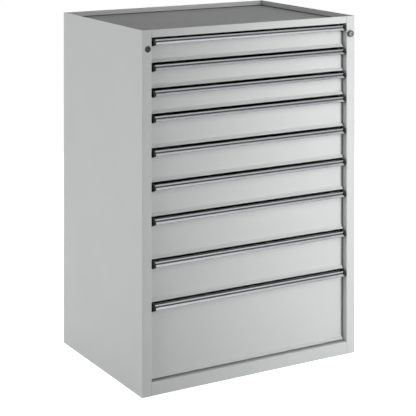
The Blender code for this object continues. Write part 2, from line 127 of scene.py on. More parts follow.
# Slides and the lock's catches; the rivets' shares are of a catch's depth
slide_metal = 0.0020
race_reach = 0.010
web_clearance = 0.0040
slide_height = 0.036
slide_foot = 0.017
slide_bend = 0.0030
middle_flange = 0.0040
middle_web = 0.0030
middle_bend = 0.0012
runner_inset = 0.0003
catch_metal = 0.0025
catch_bend = 0.0030
rivet_radius = 0.0024
rivet_height = 0.0009
rivet_shares = (0.45, 0.80)

# Handles, as reach from the front plane and rise from the module's top
handle_gap = 0.0003
handle_wall = 0.0020
handle_back_rise = -0.0085
handle_foot = -0.0225
lip_reach = 0.0235
lip_wall = 0.0030
lip_rise = -0.0047
groove_rise = -0.0097
groove_depth = 0.0018
band_reach = 0.0244
band_rise = -0.0148
groove_foot_rise = -0.0139
nose_reach = 0.0325
nose_rise = -0.0209
nose_heel = 0.0310
band_wall = 0.0028
extrusion_edge = 0.0004
cap_thickness = 0.008
cap_rim = 0.0008
cap_foot = -0.0300
cap_corner_rise = 0.0135
cap_heel = 0.0040
cap_ease = 0.0006
label_inset = 0.0008
label_sheet = 0.0005
label_end_gap = 0.0020
# Thickness of the dark strip of painted shade in the handle's groove
groove_shade_sheet = 0.0006

# Lock and plug, as reach from the post's face
hole_radius = 0.0103
ring_radius = 0.0125
ring_proud = 0.0090
ring_round = 0.0014
sleeve_radius = 0.0100
sleeve_end = 0.028
barrel_radius = 0.0080
barrel_gap = 0.0003
barrel_proud = 0.0078
barrel_round = 0.0007
barrel_round_share = 0.3
barrel_end = 0.0375
key_slot_width = 0.0038
key_slot_length = 0.0150
key_slot_depth = 0.004
key_slot_turn = math.radians(40)
nut_corner_radius = 0.0135
nut_start = 0.0018
nut_end = 0.0058
crank_start = 0.0350
crank_end = 0.0375
crank_radius = 0.0040
crank_length = 0.010
pin_radius = 0.0025
pin_end = 0.0445
plug_radius = 0.0117
plug_proud = 0.0022
plug_dish = 0.0006
plug_dish_radius = 0.0070
bar_edge = 0.0012
stud_drawers = (2, 5, 9)
stud_radius = 0.0020
stud_gap = 0.0003
stud_head_radius = 0.0045
stud_head_sheet = 0.0015
pin_room = 0.0033
pin_play = 0.0023

# Studio
floor_half = 12.0
floor_glow = 0.80
floor_roughness = 0.90
ambient_level = 0.18

# Materials: the range that noise mostly keeps to, and colours as linear RGB
noise_low, noise_high = 0.3, 0.7
paint_colour = (0.573, 0.588, 0.581)
aluminium_colour = (0.415, 0.420, 0.430)
zinc_colour = (0.56, 0.57, 0.59)
rubber_colour = (0.262, 0.262, 0.263)
# Painted shade: colour of the dark strip round the mat
mat_shade_edge_colour = (0.085, 0.085, 0.086)
ring_colour = (0.075, 0.075, 0.077)
plug_colour = (0.026, 0.025, 0.025)
black_colour = (0.012, 0.012, 0.0125)
label_colour = (0.57, 0.575, 0.60)
# Painted shade: colour of the dark strip that stands in for the shadow in the handle's groove
groove_shade_colour = (0.060, 0.060, 0.066)
nickel_colour = (0.43, 0.43, 0.44)
floor_colour = (0.8, 0.8, 0.8)
white = (1, 1, 1)


def make_camera():
    """Level camera whose frame is slid: its own axes are right, up and a slanted line of sight."""
    forward = Vector((math.sin(camera_yaw), math.cos(camera_yaw), 0))
    right = Vector((math.cos(camera_yaw), -math.sin(camera_yaw), 0))
    up = Vector((0, 0, 1))
    middle = photo_px / 2
    aim = forward + right * ((middle - principal_px[0]) / focal_px)
    aim -= up * ((middle - principal_px[1]) / focal_px)
    data = bpy.data.cameras.new("camera")
    data.sensor_width = sensor_mm
    data.lens = focal_px * aim.length * sensor_mm / photo_px
    data.clip_end = view_reach
    camera = bpy.data.objects.new("camera", data)
    bpy.context.scene.collection.objects.link(camera)
    carrier = bpy.data.objects.new("camera_carrier", None)
    bpy.context.scene.collection.objects.link(carrier)
    back = -aim.normalized()
    slanted = Matrix((right, up, back)).transposed().to_4x4()
    camera.parent = carrier
    camera.matrix_parent_inverse = Matrix.Translation(camera_place) @ slanted
    bpy.context.scene.camera = camera


def new_material(name):
    """Makes a material, and gives it with its node tree and its shader."""
    made = bpy.data.materials.new(name)
    made.use_nodes = True
    return made, made.node_tree, made.node_tree.nodes["Principled BSDF"]


def noise(tree, scale, stretch=(1, 1, 1), detail=2.0):
    """Noise in the object's own metres; a small number in stretch draws it out along that axis."""
    source = tree.nodes.new("ShaderNodeTexCoord")
    mapping = tree.nodes.new("ShaderNodeMapping")
    mapping.inputs["Scale"].default_value = stretch
    texture = tree.nodes.new("ShaderNodeTexNoise")
    texture.inputs["Scale"].default_value = scale
    texture.inputs["Detail"].default_value = detail
    tree.links.new(source.outputs["Object"], mapping.inputs["Vector"])
    tree.links.new(mapping.outputs["Vector"], texture.inputs["Vector"])
    return texture.outputs["Fac"]


def spread(tree, value, low, high):
    """Maps a value from the noise's usual range to another range."""
    node = tree.nodes.new("ShaderNodeMapRange")
    node.inputs["From Min"].default_value = noise_low
    node.inputs["From Max"].default_value = noise_high
    node.inputs["To Min"].default_value = low
    node.inputs["To Max"].default_value = high
    tree.links.new(value, node.inputs["Value"])
    return node.outputs["Result"]


def tint(tree, shader, value, colour, change):
    """Varies the base colour a little either side of a colour."""
    ramp = tree.nodes.new("ShaderNodeValToRGB")
    ramp.color_ramp.elements[0].position = noise_low
    ramp.color_ramp.elements[1].position = noise_high
    ramp.color_ramp.elements[0].color = (*[c * (1 - change) for c in colour], 1)
    ramp.color_ramp.elements[1].color = (*[c * (1 + change) for c in colour], 1)
    tree.links.new(value, ramp.inputs["Fac"])
    tree.links.new(ramp.outputs["Color"], shader.inputs["Base Color"])


def bump(tree, shader, value, strength, distance):
    """Adds relief from a value."""
    node = tree.nodes.new("ShaderNodeBump")
    node.inputs["Strength"].default_value = strength
    node.inputs["Distance"].default_value = distance
    tree.links.new(value, node.inputs["Height"])
    tree.links.new(node.outputs["Normal"], shader.inputs["Normal"])


def paint():
    """Satin powder coat: fine orange peel, and a slow drift of gloss."""
    made, tree, shader = new_material("powder_coat")
    tint(tree, shader, noise(tree, scale=3.0), paint_colour, change=0.012)
    drift = spread(tree, noise(tree, scale=9.0), low=0.40, high=0.48)
    tree.links.new(drift, shader.inputs["Roughness"])
    bump(tree, shader, noise(tree, scale=700.0, detail=3.0), strength=0.10, distance=0.0004)
    return made


def metal(name, colour, roughness, stretch=(1, 1, 1), scale=60.0, relief=0.12, change=0.06, purity=1.0):
    """Metal; stretch gives it the fine lines that rolling or extruding leaves along an axis."""
    made, tree, shader = new_material(name)
    shader.inputs["Metallic"].default_value = purity
    grain = noise(tree, scale, stretch, detail=4.0)
    tint(tree, shader, grain, colour, change)
    sheen = spread(tree, grain, low=roughness - 0.05, high=roughness + 0.06)
    tree.links.new(sheen, shader.inputs["Roughness"])
    bump(tree, shader, grain, relief, distance=0.0002)
    return made


def galvanised():
    """Zinc coated sheet with its crystal spangle."""
    made, tree, shader = new_material("galvanised")
    shader.inputs["Metallic"].default_value = 0.9
    source = tree.nodes.new("ShaderNodeTexCoord")
    cells = tree.nodes.new("ShaderNodeTexVoronoi")
    cells.inputs["Scale"].default_value = 140.0
    tree.links.new(source.outputs["Object"], cells.inputs["Vector"])
    shade = tree.nodes.new("ShaderNodeSeparateColor")
    tree.links.new(cells.outputs["Color"], shade.inputs["Color"])
    tint(tree, shader, shade.outputs["Red"], zinc_colour, change=0.08)
    sheen = spread(tree, shade.outputs["Green"], low=0.36, high=0.46)
    tree.links.new(sheen, shader.inputs["Roughness"])
    return made


def moulded(name, colour, roughness, gloss=0.5, change=0.10):
    """Moulded plastic or rubber with a fine grain."""
    made, tree, shader = new_material(name)
    shader.inputs["Specular IOR Level"].default_value = gloss
    tint(tree, shader, noise(tree, scale=25.0), colour, change)
    grain = noise(tree, scale=900.0)
    sheen = spread(tree, grain, low=roughness - 0.06, high=roughness + 0.06)
    tree.links.new(sheen, shader.inputs["Roughness"])
    bump(tree, shader, grain, strength=0.15, distance=0.0003)
    return made


def label_material():
    """Bright metal strip on the handle's band, a little cloudy."""
    made, tree, shader = new_material("label_strip")
    shader.inputs["Metallic"].default_value = 1.0
    cloud = noise(tree, scale=18.0, stretch=(1, 8, 8))
    tint(tree, shader, cloud, label_colour, change=0.03)
    shader.inputs["Roughness"].default_value = 0.36
    return made


def place(axis, u, v, w):
    """Puts a drawing's point (u, v) at the place w along the axis."""
    return {"X": Vector((w, u, v)), "Y": Vector((u, w, v)), "Z": Vector((u, v, w))}[axis]


def prism(outline, axis, start, end):
    """Closed outline drawn out between two places on an axis."""
    bm = bmesh.new()
    near = [bm.verts.new(place(axis, u, v, start)) for u, v in outline]
    far = [bm.verts.new(place(axis, u, v, end)) for u, v in outline]
    bm.faces.new(near)
    for index in range(len(outline)):
        bm.faces.new((near[index - 1], near[index], far[index], far[index - 1]))
    bm.faces.new(far[::-1])
    bmesh.ops.recalc_face_normals(bm, faces=bm.faces)
    return bm


def box(low, high):
    """Box between two corners."""
    bm = bmesh.new()
    bmesh.ops.create_cube(bm, size=1)
    bmesh.ops.scale(bm, vec=Vector(high) - Vector(low), verts=bm.verts)
    bmesh.ops.translate(bm, vec=(Vector(high) + Vector(low)) / 2, verts=bm.verts)
    return bm


def arc(before, corner, after, radius):
    """Points of a fillet at a corner."""
    corner = Vector(corner)
    back = (Vector(before) - corner).normalized()
    ahead = (Vector(after) - corner).normalized()
    half_turn = back.angle(ahead) / 2
    run = radius / math.tan(half_turn)
    centre = corner + (back + ahead).normalized() * (radius / math.sin(half_turn))
    first = corner + back * run - centre
    last = corner + ahead * run - centre
    sweep = first.angle(last)
    points = []
    for step in range(arc_steps + 1):
        turn = sweep * step / arc_steps
        arm = (first * math.sin(sweep - turn) + last * math.sin(turn)) / math.sin(sweep)
        points.append(tuple(centre + arm))
    return points


def soften(outline, radius=0):
    """Rounds the corners of a closed outline; a point's third number is its own radius."""
    points = []
    count = len(outline)
    for index, corner in enumerate(outline):
        own = corner[2] if len(corner) > 2 else radius
        if own:
            points += arc(outline[index - 1][:2], corner[:2], outline[(index + 1) % count][:2], own)
        else:
            points.append(tuple(corner[:2]))
    return points


def strip(path, thickness, radius):
    """Closed outline of a folded sheet that lies to the left of an open path."""
    points = [Vector(point) for point in path]
    legs = [(b - a).normalized() for a, b in zip(points, points[1:])]
    lefts = [Vector((-leg.y, leg.x)) for leg in legs]
    near, far = [tuple(points[0])], [tuple(points[0] + lefts[0] * thickness)]
    inner = max(radius - thickness, radius * least_inner_share)
    offset = [points[0] + lefts[0] * thickness]
    for index in range(1, len(points) - 1):
        a, b = lefts[index - 1], lefts[index]
        offset.append(points[index] + (a + b) * (thickness / (1 + a.dot(b))))
    offset.append(points[-1] + lefts[-1] * thickness)
    for index in range(1, len(points) - 1):
        turns_left = legs[index - 1].cross(legs[index]) > 0
        near_radius, far_radius = (radius, inner) if turns_left else (inner, radius)
        near += arc(points[index - 1], points[index], points[index + 1], near_radius)
        far += arc(offset[index - 1], offset[index], offset[index + 1], far_radius)
    near.append(tuple(points[-1]))
    far.append(tuple(offset[-1]))
    return near + far[::-1]


def folded(path, axis, start, end, thickness, radius=fold_radius):
    """Folded sheet: its section's path, drawn out along an axis."""
    return prism(strip(path, thickness, radius), axis, start, end)


def turned(profile, centre, segments, axis="Y"):
    """Turns a profile of (radius, depth) about a line along an axis."""
    bm = bmesh.new()
    rings = []
    for radius, depth in profile:
        ring = []
        for index in range(segments if radius else 1):
            angle = 2 * math.pi * index / segments
            across, up = radius * math.cos(angle), radius * math.sin(angle)
            ring.append(bm.verts.new(place(axis, across, up, depth)))
        rings.append(ring)
    pairs = list(zip(rings, rings[1:]))
    if profile[0][0] and profile[-1][0]:
        pairs.append((rings[-1], rings[0]))
    for near, far in pairs:
        for index in range(segments):
            after = (index + 1) % segments
            corners = [near[index % len(near)], near[after % len(near)]]
            corners += [far[after % len(far)], far[index % len(far)]]
            bm.faces.new(list(dict.fromkeys(corners)))
    bmesh.ops.recalc_face_normals(bm, faces=bm.faces)
    bmesh.ops.translate(bm, verts=bm.verts, vec=centre)
    return bm


def polygon(radius, count, x, z):
    """Corners of a regular polygon about (x, z)."""
    corners = []
    for index in range(count):
        angle = 2 * math.pi * index / count
        corners.append((x + radius * math.cos(angle), z + radius * math.sin(angle)))
    return corners


def rod(radius, start, end, x, z):
    """Round bar along Y, at x and z."""
    return prism(polygon(radius, rod_segments, x, z), "Y", start, end)


def joined(*parts):
    """Puts several bmeshes in one and frees them."""
    whole = bmesh.new()
    for part in parts:
        mesh = bpy.data.meshes.new("part")
        part.to_mesh(mesh)
        part.free()
        whole.from_mesh(mesh)
        bpy.data.meshes.remove(mesh)
    return whole


def to_mesh(name, bm, material):
    """Makes a mesh with its material, smooth but for its sharp edges, and frees the bmesh."""
    mesh = bpy.data.meshes.new(name)
    bm.to_mesh(mesh)
    bm.free()
    mesh.materials.append(material)
    mesh.shade_smooth()
    mesh.set_sharp_from_angle(angle=smooth_limit)
    return mesh


def work_object(bm):
    """Turns a bmesh into an object that a modifier can work on."""
    mesh = bpy.data.meshes.new("work")
    bm.to_mesh(mesh)
    bm.free()
    obj = bpy.data.objects.new("work", mesh)
    bpy.context.scene.collection.objects.link(obj)
    return obj


def worked(obj, *helpers):
    """Bmesh of an object with its modifiers applied; removes the work objects."""
    graph = bpy.context.evaluated_depsgraph_get()
    result = bpy.data.meshes.new_from_object(obj.evaluated_get(graph))
    made = bmesh.new()
    made.from_mesh(result)
    bpy.data.meshes.remove(result)
    for item in (obj, *helpers):
        mesh = item.data
        bpy.data.objects.remove(item, do_unlink=True)
        bpy.data.meshes.remove(mesh)
    return made


def cut(bm, cutters):
    """Cuts one bmesh from another."""
    body, tool = work_object(bm), work_object(cutters)
    boolean = body.modifiers.new("cut", "BOOLEAN")
    boolean.operation = "DIFFERENCE"
    boolean.solver = "EXACT"
    boolean.object = tool
    return worked(body, tool)


def thickened(bm, thickness):
    """Gives an open surface its thickness, on the side away from its normals."""
    obj = work_object(bm)
    solid = obj.modifiers.new("thickness", "SOLIDIFY")
    solid.thickness = thickness
    solid.offset = -1
    solid.use_even_offset = True
    return worked(obj)


def bevel(bm, edges, offset, segments):
    """Rounds the given edges."""
    bmesh.ops.bevel(bm, geom=edges, offset=offset, segments=segments, profile=0.5, affect="EDGES")


def eased(bm, offset):
    """Rounds every sharp edge."""
    bm.normal_update()
    sharp = []
    for edge in bm.edges:
        if len(edge.link_faces) == 2 and edge.calc_face_angle() > ease_limit:
            sharp.append(edge)
    bevel(bm, sharp, offset, ease_segments)
    return bm


def add(name, mesh, body, slot, *nodes, at=None):
    """Adds a piece that rides on a body and stands for nodes of the frame."""
    obj = bpy.data.objects.new(name, mesh)
    bpy.context.scene.collection.objects.link(obj)
    if at:
        obj.location = at
    normals = obj.modifiers.new("flat_faces", "WEIGHTED_NORMAL")
    normals.keep_sharp = True
    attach(obj, body)
    if nodes:
        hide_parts(*nodes)


def mirrored(mesh, name):
    """Copy of a mesh for the left-hand side."""
    twin = mesh.copy()
    twin.name = name
    bm = bmesh.new()
    bm.from_mesh(twin)
    bmesh.ops.scale(bm, vec=(-1, 1, 1), verts=bm.verts)
    bmesh.ops.reverse_faces(bm, faces=bm.faces)
    bm.to_mesh(twin)
    bm.free()
    return twin


def make_sides():
    """Folded sides with their posts, holes and top notches."""
    low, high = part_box("right_side_panel")
    rail_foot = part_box("top_rail")[0].z
    path = [
        (low.x, low.y + post_return),
        (low.x, low.y),
        (high.x, low.y),
        (high.x, high.y),
        (high.x - rear_flange_width, high.y),
    ]
    panel = folded(path, "Z", low.z, high.z, housing_sheet)
    axis = lock_axis()
    hole = rod(hole_radius, low.y - cut_overrun, low.y + cut_overrun, axis.x, axis.z)
    notch = box(
        (low.x - cut_overrun, low.y + housing_sheet + seam_gap, rail_foot),
        (high.x - housing_sheet, low.y + post_return + cut_overrun, high.z + cut_overrun),
    )
    right = to_mesh("right_side", cut(panel, joined(hole, notch)), PAINT)
    add("right_side", right, "cabinet", "housing_paint", "right_side_panel")
    add("left_side", mirrored(right, "left_side"), "cabinet", "housing_paint", "left_side_panel")


def make_top():
    """Top rail, tray and mat."""
    low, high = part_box("top_rail")
    path = [(low.y, high.z), (low.y, low.z), (high.y, low.z)]
    rail = to_mesh("rail", folded(path, "X", low.x, high.x, housing_sheet), PAINT)
    add("rail", rail, "cabinet", "housing_paint", "top_rail")
    make_tray()
    make_mat()


def make_tray():
    """Tray: a floor and four folded sides that leave its corners open."""
    low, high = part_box("top_tray")
    left, right = low.x + tray_corner_gap, high.x - tray_corner_gap
    front, rear = low.y + tray_corner_gap, high.y - tray_corner_gap
    parts = [box((left, front, low.z), (right, rear, low.z + thin_sheet))]
    runs = (("X", low.y, high.y, left, right), ("Y", low.x, high.x, front, rear))
    for axis, near, far, start, end in runs:
        first = [(near, high.z), (near, low.z), (near + tray_turn, low.z)]
        second = [(far - tray_turn, low.z), (far, low.z), (far, high.z)]
        for path in (first, second):
            parts.append(folded(path, axis, start, end, thin_sheet))
    add("tray", to_mesh("tray", joined(*parts), PAINT), "cabinet", "housing_paint", "top_tray")


def make_mat():
    """Mat with ribs from side to side, and round it a raised dark strip of painted shade that stands in
    for the dark line at the mat's edge.
    """
    low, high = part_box("ribbed_mat")
    foot = high.z - rib_height
    outline = [(high.y, low.z), (low.y, low.z)]
    count = round((high.y - low.y) / rib_pitch)
    pitch = (high.y - low.y) / count
    for index in range(count):
        start = low.y + index * pitch
        outline += [
            (start, foot),
            (start + pitch * rib_foot_share, foot),
            (start + pitch * rib_rise_share, high.z),
            (start + pitch * rib_top_share, high.z),
        ]
    outline.append((high.y, foot))
    mat = to_mesh("mat", prism(outline, "X", low.x, high.x), RUBBER)
    add("mat", mat, "cabinet", "mat_rubber", "ribbed_mat")
    # Raised dark strip round the mat: painted shade for the dark line at its edge
    left, right = low.x + mat_shade_edge, high.x - mat_shade_edge
    front, rear = low.y + mat_shade_edge, high.y - mat_shade_edge
    top = high.z + mat_shade_edge_rise
    strips = [
        box((low.x, low.y, high.z), (high.x, front, top)),
        box((low.x, rear, high.z), (high.x, high.y, top)),
        box((low.x, front, high.z), (left, rear, top)),
        box((right, front, high.z), (high.x, rear, top)),
    ]
    add("mat_shade_edge", to_mesh("mat_shade_edge", joined(*strips), MAT_SHADE_EDGE), "cabinet", "mat_rubber")


def make_foot():
    """Plinth, base pan and back panel with its rivets."""
    low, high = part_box("plinth")
    path = [(high.y, high.z), (low.y, high.z), (low.y, low.z), (high.y, low.z)]
    plinth = to_mesh("foot_band", folded(path, "X", low.x, high.x, housing_sheet), PAINT)
    add("foot_band", plinth, "cabinet", "housing_paint", "plinth")
    wear(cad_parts["base_pan"], PAINT)
    low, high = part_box("back_panel")
    sheet = to_mesh("rear_sheet", box(low, high), PAINT)
    add("rear_sheet", sheet, "cabinet", "housing_paint", "back_panel")
    side_low, side_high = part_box("right_side_panel")
    head = to_mesh("back_rivet", dome(back_rivet_radius, back_rivet_height, "Y"), PAINT)
    count = math.floor((side_high.z - side_low.z) / back_rivet_pitch)
    first = (side_high.z + side_low.z - (count - 1) * back_rivet_pitch) / 2
    reach = side_high.x - back_rivet_inset
    for name, x in (("left", -reach), ("right", reach)):
        for index in range(count):
            at = (x, side_high.y, first + index * back_rivet_pitch)
            add(f"back_rivet_{name}_{index + 1}", head, "cabinet", "housing_paint", at=at)


def wear(obj, material):
    """Gives a carried-over solid its material."""
    obj.data.materials.clear()
    obj.data.materials.append(material)


def dome(radius, height, axis):
    """Rivet head that stands on the plane at zero, along an axis."""
    profile = [(0, height)]
    for step in range(1, arc_steps):
        angle = math.pi / 2 * step / arc_steps
        profile.append((radius * math.sin(angle), height * math.cos(angle)))
    profile += [(radius, 0), (0, 0)]
    return turned(profile, (0, 0, 0), rivet_segments, axis)


def front_pan(rise, half):
    """Painted front: a folded pan whose foot kicks forward over the handle below."""
    outline = [
        (front_depth, front_foot, 0),
        (-kick_reach, front_foot, edge_bend),
        (-kick_reach, front_foot + kick_lip, edge_bend),
        (0, front_foot + kick_height, kick_bend),
        (0, rise, front_bend),
        (front_depth, rise, 0),
    ]
    bm = prism(soften(outline), "X", -half, half)
    bm.normal_update()
    back = []
    for face in bm.faces:
        if face.normal.y > facing_limit and face.calc_center_median().y > front_depth / 2:
            back.append(face)
    bmesh.ops.delete(bm, geom=back, context="FACES")
    ends = []
    for edge in bm.edges:
        sides = [abs(face.normal.x) > facing_limit for face in edge.link_faces]
        if len(sides) == 2 and sides[0] != sides[1]:
            ends.append(edge)
    bevel(bm, ends, edge_bend, pan_ease_segments)
    return thickened(bm, front_sheet)


def slot_rows(rise):
    """Feet of the rows of divider slots."""
    rows = math.floor((rise - hem_height - slot_row_foot - slot_height) / slot_row_pitch) + 1
    return [slot_row_foot + index * slot_row_pitch for index in range(max(rows, 0))]


def slot_places(start, end):
    """Evenly stepped places of slots between two ends."""
    count = math.floor((end - start - 2 * slot_margin) / slot_pitch)
    first = (start + end - count * slot_pitch) / 2
    return [first + index * slot_pitch for index in range(count + 1)]


def slot_cutter(axis, near, far, middle, foot):
    """Box that cuts a divider slot through a wall between two places on an axis."""
    start, end = middle - slot_width / 2, middle + slot_width / 2
    if axis == "X":
        return box((near, start, foot), (far, end, foot + slot_height))
    return box((start, near, foot), (end, far, foot + slot_height))


def tub(rise, half, rear):
    """Folded tub: sides and floor from one sheet, two end walls, hems and divider slots."""
    inner = half - hem_width
    path = [
        (-inner, rise - hem_height),
        (-inner, rise),
        (-half, rise),
        (-half, tub_foot),
        (half, tub_foot),
        (half, rise),
        (inner, rise),
        (inner, rise - hem_height),
    ]
    body = folded(path, "Y", tub_front, rear, tub_sheet, tub_bend)
    holes = []
    for y in slot_places(tub_front, rear):
        for z in slot_rows(rise):
            for side in (-1, 1):
                near, far = sorted((side * (half - 2 * tub_sheet), side * (half + tub_sheet)))
                holes.append(slot_cutter("X", near, far, y, z))
    notch = hem_width + seam_gap
    foot, top = rise - hem_height - tub_sheet, rise + cut_overrun
    ends = ((tub_front - cut_overrun, tub_front + notch), (rear - notch, rear + cut_overrun))
    for side in (-1, 1):
        near, far = sorted((side * (inner - tub_sheet), side * (half - tub_sheet)))
        for start, end in ends:
            holes.append(box((near, start, foot), (far, end, top)))
    body = cut(body, joined(*holes))
    return joined(body, tub_end(rise, half, tub_front, 1), tub_end(rise, half, rear, -1))


def tub_end(rise, half, outer, inward):
    """End wall of a tub with its floor turn, lip and slots; inward is 1 towards the back, or -1."""
    floor = tub_foot + tub_sheet + seam_gap
    reach = half - tub_sheet - seam_gap
    lip = outer + inward * hem_width
    path = [
        (outer + inward * floor_turn, floor),
        (outer, floor),
        (outer, rise),
        (lip, rise),
        (lip, rise - hem_height),
    ]
    if inward > 0:
        path.reverse()
    wall = folded(path, "X", -reach, reach, tub_sheet, tub_bend)
    near, far = sorted((outer - inward * tub_sheet, outer + inward * 2 * tub_sheet))
    holes = []
    for x in slot_places(-half, half):
        for z in [slot_low_row, *slot_rows(rise)]:
            holes.append(slot_cutter("Y", near, far, x, z))
    return cut(wall, joined(*holes))


def channel(web_x, reach, start, end):
    """Rolled C section along Y, with its web's back at web_x and its flanges by reach from it."""
    path = [
        (web_x + reach, slide_foot),
        (web_x, slide_foot),
        (web_x, slide_foot + slide_height),
        (web_x + reach, slide_foot + slide_height),
    ]
    if reach > 0:
        path.reverse()
    return folded(path, "Y", start, end, slide_metal, slide_bend)


def middle_member(half_width, height, length):
    """Rolled I section that runs between the two channels."""
    half_web = middle_web / 2
    right = [
        (half_width, 0, middle_bend),
        (half_width, middle_flange, middle_bend),
        (half_web, middle_flange, middle_bend),
        (half_web, height - middle_flange, middle_bend),
        (half_width, height - middle_flange, middle_bend),
        (half_width, height, middle_bend),
    ]
    left = [(-x, z, bend) for x, z, bend in right[::-1]]
    return prism(soften(right + left), "Y", 0, length)


def handle_section():
    """Section of the extrusion, as (y, z) from the front plane and the module's top."""
    floor = handle_foot + handle_wall
    slope = (nose_reach - band_reach) / (band_rise - nose_rise)
    trough_end = band_reach - band_wall + slope * (band_rise - floor)
    groove = lip_reach - groove_depth
    edge = extrusion_edge
    points = [
        (handle_gap, handle_foot, edge),
        (handle_gap, handle_back_rise, edge),
        (handle_gap + handle_wall, handle_back_rise, edge),
        (handle_gap + handle_wall, floor, 2 * edge),
        (trough_end, floor, 2 * edge),
        (groove - handle_wall, groove_foot_rise, 2 * edge),
        (lip_reach - lip_wall, lip_rise, 3 * edge),
        (lip_reach, lip_rise, 3 * edge),
        (lip_reach, groove_rise, edge),
        (groove, groove_rise, edge),
        (groove, groove_foot_rise, edge),
        (band_reach, band_rise, edge),
        (nose_reach, nose_rise, 2 * edge),
        (nose_heel, handle_foot, 2 * edge),
    ]
    return soften([(-reach, rise, own) for reach, rise, own in points])


def cap_section():
    """Outline of an end cap, as (y, z)."""
    top = lip_rise + cap_rim
    lip = lip_reach + cap_rim
    nose = nose_reach + cap_rim
    heel = handle_gap + cap_heel
    points = [
        (handle_gap, cap_foot + cap_heel, 0),
        (handle_gap, top - handle_wall, 0),
        (handle_gap + handle_wall, top, 0),
        (lip, top, handle_wall),
    ]
    steps = 2 * arc_steps
    for step in range(steps + 1):
        angle = math.pi / 2 * step / steps
        reach = heel + (nose - heel) * math.cos(angle)
        points.append((reach, cap_foot + cap_corner_rise * (1 - math.sin(angle)), 0))
    return soften([(-reach, rise, own) for reach, rise, own in points])


def label_strip(half):
    """Thin bright strip on the sloping band."""
    top = Vector((-band_reach, band_rise))
    foot = Vector((-nose_reach, nose_rise))
    run = (foot - top).normalized()
    out = Vector((run.y, -run.x))
    if out.y < 0:
        out = -out
    start = top + run * label_inset
    end = foot - run * (label_inset + 2 * extrusion_edge)
    points = [start, end, end + out * label_sheet, start + out * label_sheet]
    return prism([tuple(point) for point in points], "X", -half, half)


def groove_shade_strip(half):
    """Dark strip of painted shade in the bottom of the groove: it stands in for the groove's shadow."""
    groove = -(lip_reach - groove_depth)
    outline = [
        (groove - groove_shade_sheet, groove_foot_rise + seam_gap),
        (groove, groove_foot_rise + seam_gap),
        (groove, groove_rise - seam_gap),
        (groove - groove_shade_sheet, groove_rise - seam_gap),
    ]
    return prism(outline, "X", -half, half)


def modules():
    """Yields each drawer's number, the foot of its module and its units of height."""
    for number in range(1, drawer_count + 1):
        low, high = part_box(f"drawer_{number}_box")
        foot = low.z - front_foot
        yield number, foot, round((high.z + headroom - foot) / unit_height)


def make_drawers():
    """The drawers: front, tub, slides, handle with its caps, its label strip and a dark strip of
    painted shade in its groove, and lock catch.
    """
    low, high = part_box("drawer_1_box")
    front_plane, half = low.y + kick_reach, high.x
    middle_low, middle_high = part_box("drawer_1_slide_right")
    tub_half = middle_low.x - web_clearance
    rear = high.y - front_plane
    fronts, tubs = {}, {}
    for _, _, units in modules():
        if units not in fronts:
            rise = units * unit_height - headroom
            fronts[units] = to_mesh(f"front_{units}_units", front_pan(rise, half), PAINT)
            tubs[units] = to_mesh(f"tub_{units}_units", tub(rise, tub_half, rear), PAINT)
    inner = half - cap_thickness
    extrusion = to_mesh("extrusion", prism(handle_section(), "X", -inner, inner), ALUMINIUM)
    cap = to_mesh("end_cap", eased(prism(cap_section(), "X", inner, half), cap_ease), BLACK)
    left_cap = mirrored(cap, "end_cap_left")
    label = to_mesh("label_strip", label_strip(inner - label_end_gap), LABEL)
    # Dark strip of painted shade in the groove, in place of the groove's shadow
    groove_shade = to_mesh("groove_shade_strip", groove_shade_strip(inner), GROOVE_SHADE)
    slide_start = middle_low.y - front_plane
    slide_end = middle_high.y - front_plane
    member = to_mesh("member", channel(tub_half, race_reach, slide_start, slide_end), ZINC)
    left_member = mirrored(member, "member_left")
    size = middle_high - middle_low
    profile = middle_member(size.x / 2, size.z, slide_end - slide_start)
    middle = to_mesh("middle_member", profile, ZINC)
    middle_x = (middle_low.x + middle_high.x) / 2
    catch = to_mesh("catch", catch_angle(front_plane), ZINC)
    for number, foot, units in modules():
        body = f"drawer_{number}"
        at = (0, front_plane, foot)
        top = (0, front_plane, foot + units * unit_height)
        add(f"{body}_front", fronts[units], body, "drawer_paint", f"{body}_box", at=at)
        add(f"{body}_tub", tubs[units], body, "drawer_paint", at=at)
        add(f"{body}_member_right", member, body, "zinc_steel", at=at)
        add(f"{body}_member_left", left_member, body, "zinc_steel", at=at)
        add(f"{body}_extrusion", extrusion, body, "handle_aluminium", f"{body}_handle", at=top)
        add(f"{body}_cap_right", cap, body, "black_plastic", at=top)
        add(f"{body}_cap_left", left_cap, body, "black_plastic", at=top)
        add(f"{body}_label", label, body, "handle_aluminium", at=top)
        # Painted shade: dark strip in the handle's groove
        add(f"{body}_seal", groove_shade, body, "black_plastic", at=top)
        add(f"{body}_lock_angle", catch, body, "zinc_steel", f"{body}_catch", at=at)
        for name, x in (("right", middle_x), ("left", -middle_x)):
            node = f"{body}_slide_{name}"
            at = (x, middle_low.y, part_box(node)[0].z)
            add(f"{body}_middle_{name}", middle, f"{body}_slides", "zinc_steel", node, at=at)


def catch_angle(front_plane):
    """Folded angle on the drawer's right wall, with its two rivets."""
    low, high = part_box("drawer_1_catch")
    _, foot, _ = next(modules())
    front, end = low.y - front_plane, high.y - front_plane
    path = [(low.x, end), (low.x, front), (high.x, front)]
    angle = folded(path, "Z", low.z - foot, high.z - foot, catch_metal, catch_bend)
    middle_z = (low.z + high.z) / 2 - foot
    rivets = []
    for share in rivet_shares:
        rivet = dome(rivet_radius, rivet_height, "X")
        at = (low.x + catch_metal, front + share * (end - front), middle_z)
        bmesh.ops.translate(rivet, verts=rivet.verts, vec=at)
        rivets.append(rivet)
    return joined(angle, *rivets)


